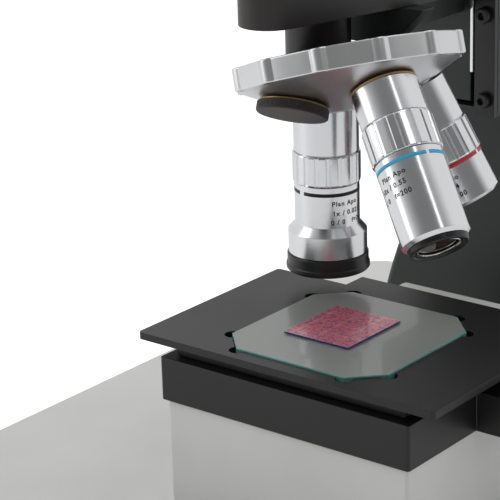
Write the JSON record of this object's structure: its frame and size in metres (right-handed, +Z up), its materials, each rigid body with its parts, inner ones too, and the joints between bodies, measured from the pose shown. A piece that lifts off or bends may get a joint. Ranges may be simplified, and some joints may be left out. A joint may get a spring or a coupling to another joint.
{
  "type": "microscope",
  "caption": "Upright measuring microscope with a tilted objective turret, glass-topped XY stage, rack focus and twin eyepieces.",
  "frame": {"origin": "centre of the footprint, on the surface that the rubber feet stand on", "axes": "+Z up; -Y towards the operator, where the eyepieces point; +X to the operator's right"},
  "size_m": [0.32, 0.44, 0.4777],
  "materials": {
    "light_paint": "satin warm light grey enamel on cast iron",
    "bed_paint": "satin warm light grey enamel on cast aluminium",
    "column_paint": "fine-textured dark grey-green satin paint on cast aluminium",
    "head_paint": "satin black paint or anodising on aluminium castings and turnings",
    "black_anodised": "satin black anodised plate",
    "satin_aluminium": "fine-turned satin chrome look",
    "steel": "ground steel",
    "brass": "turned brass",
    "rubber": "matt rubber",
    "black_plastic": "matt brown-black plastic, knurled where gripped",
    "lens_glass": "coated lens with a dark reddish reflection",
    "stage_glass": "clear float glass with green edges",
    "chip": "patterned silicon die with a red iridescent top"
  },
  "bodies": {
    "stand": {"base_casting": "light_paint", "foot_front_left": "rubber", "foot_front_right": "rubber", "foot_rear_left": "rubber", "foot_rear_right": "rubber", "inlet_socket": "black_plastic", "column": "column_paint", "guide_block": "column_paint", "guide_rail_left": "steel", "guide_rail_right": "steel", "guide_plate_left": "head_paint", "guide_plate_right": "head_paint", "guide_screw_1": "steel", "guide_screw_2": "steel", "stage_bed": "bed_paint"},
    "power_switch": {"power_switch": "black_plastic"},
    "brightness_dial": {"brightness_dial": "black_plastic"},
    "coarse_drive": {"coarse_shaft": "steel", "coarse_knob_left": "head_paint", "coarse_knob_right": "head_paint"},
    "fine_drive": {"fine_knob_left": "head_paint", "fine_knob_right": "head_paint"},
    "focus_head": {"focus_carriage": "column_paint", "focus_rack": "steel", "head_bracket": "column_paint", "head_housing": "head_paint", "half_mirror": "lens_glass", "lamp_house": "column_paint", "lamp_rear_cap": "head_paint", "lamp_bulb": "steel", "nosepiece_mount": "head_paint", "binocular_body": "head_paint", "tube_lens": "lens_glass", "camera_port_cap": "black_plastic"},
    "filter_slider": {"filter_slider": "satin_aluminium"},
    "aperture_ring": {"aperture_ring": "satin_aluminium"},
    "field_ring": {"field_ring": "satin_aluminium"},
    "turret": {"turret_disc": "satin_aluminium", "objective_low_barrel": "satin_aluminium", "objective_low_lens": "lens_glass", "objective_mid_barrel": "satin_aluminium", "objective_high_barrel": "satin_aluminium", "objective_high_bezel": "head_paint", "objective_high_lens": "lens_glass", "high_spacer_ring": "brass", "port_plug": "black_plastic"},
    "low_hood": {"objective_low_hood": "head_paint"},
    "eye_left": {"prism_arm_left": "head_paint", "eyepiece_left": "black_plastic"},
    "eye_right": {"prism_arm_right": "head_paint", "eyepiece_right": "black_plastic"},
    "diopter_ring": {"diopter_ring": "head_paint"},
    "stage_y": {"y_saddle": "black_anodised", "x_rail_cover": "black_anodised"},
    "stage_x": {"stage_plate": "black_anodised", "glass_insert": "stage_glass", "specimen_chip": "chip", "x_slide": "black_anodised"},
    "y_knob": {"stage_y_knob": "black_plastic"},
    "x_knob": {"stage_x_knob": "black_plastic"}
  },
  "joints": [
    {"name": "focus_slide", "type": "slide", "parent": "stand", "child": "focus_head", "axis": [0, 0, 1], "range_m": [-0.002, 0.07]},
    {"name": "coarse_turn", "type": "hinge", "parent": "stand", "child": "coarse_drive", "pos_m": [0, 0.0969, 0.306], "axis": [-1, 0, 0], "range_deg": [-13, 446]},
    {"name": "fine_turn", "type": "hinge", "parent": "stand", "child": "fine_drive", "pos_m": [0, 0.0969, 0.306], "axis": [-1, 0, 0], "continuous": true},
    {"name": "turret_turn", "type": "hinge", "parent": "focus_head", "child": "turret", "pos_m": [0, -0.04, 0.33955], "axis": [0.3006, -0.1499, -0.9419], "continuous": true},
    {"name": "low_hood_turn", "type": "hinge", "parent": "turret", "child": "low_hood", "pos_m": [0, -0.04, 0.165], "axis": [0, 0, 1], "continuous": true},
    {"name": "filter_slide", "type": "slide", "parent": "focus_head", "child": "filter_slider", "axis": [0, -1, 0], "range_m": [0, 0.022]},
    {"name": "aperture_turn", "type": "hinge", "parent": "focus_head", "child": "aperture_ring", "pos_m": [-0.0465, -0.04, 0.333], "axis": [1, 0, 0], "range_deg": [-35, 35]},
    {"name": "field_turn", "type": "hinge", "parent": "focus_head", "child": "field_ring", "pos_m": [-0.0405, -0.04, 0.333], "axis": [1, 0, 0], "range_deg": [-35, 35]},
    {"name": "pupil_left_turn", "type": "hinge", "parent": "focus_head", "child": "eye_left", "pos_m": [0, -0.077, 0.41002], "axis": [0, -0.9063, 0.4226], "range_deg": [-8, 8]},
    {"name": "pupil_right_turn", "type": "hinge", "parent": "focus_head", "child": "eye_right", "pos_m": [0, -0.077, 0.41002], "axis": [0, -0.9063, 0.4226], "range_deg": [-8, 8]},
    {"name": "diopter_turn", "type": "hinge", "parent": "eye_left", "child": "diopter_ring", "pos_m": [-0.032, -0.077, 0.41002], "axis": [0, -0.9063, 0.4226], "range_deg": [-60, 60]},
    {"name": "stage_y_slide", "type": "slide", "parent": "stand", "child": "stage_y", "axis": [0, 1, 0], "range_m": [-0.02, 0.055]},
    {"name": "stage_x_slide", "type": "slide", "parent": "stage_y", "child": "stage_x", "axis": [1, 0, 0], "range_m": [-0.055, 0.03]},
    {"name": "y_knob_turn", "type": "hinge", "parent": "stage_y", "child": "y_knob", "pos_m": [0.141, -0.062, 0.1], "axis": [0, 0, 1], "range_deg": [-206, 564]},
    {"name": "x_knob_turn", "type": "hinge", "parent": "stage_y", "child": "x_knob", "pos_m": [0.141, -0.062, 0.1], "axis": [0, 0, 1], "range_deg": [-564, 308]},
    {"name": "power_rocker", "type": "hinge", "parent": "stand", "child": "power_switch", "pos_m": [0.11, -0.21, 0.036], "axis": [0, 0, 1], "range_deg": [0, 8]},
    {"name": "brightness_turn", "type": "hinge", "parent": "stand", "child": "brightness_dial", "pos_m": [-0.11, -0.216, 0.036], "axis": [0, -1, 0], "range_deg": [0, 270]}
  ],
  "couplings": [
    {"joint": "coarse_turn", "follows": "focus_slide", "rad_per_m": 111.11},
    {"joint": "pupil_right_turn", "follows": "pupil_left_turn", "ratio": -1},
    {"joint": "y_knob_turn", "follows": "stage_y_slide", "rad_per_m": 178.57},
    {"joint": "x_knob_turn", "follows": "stage_x_slide", "rad_per_m": 178.57}
  ]
}
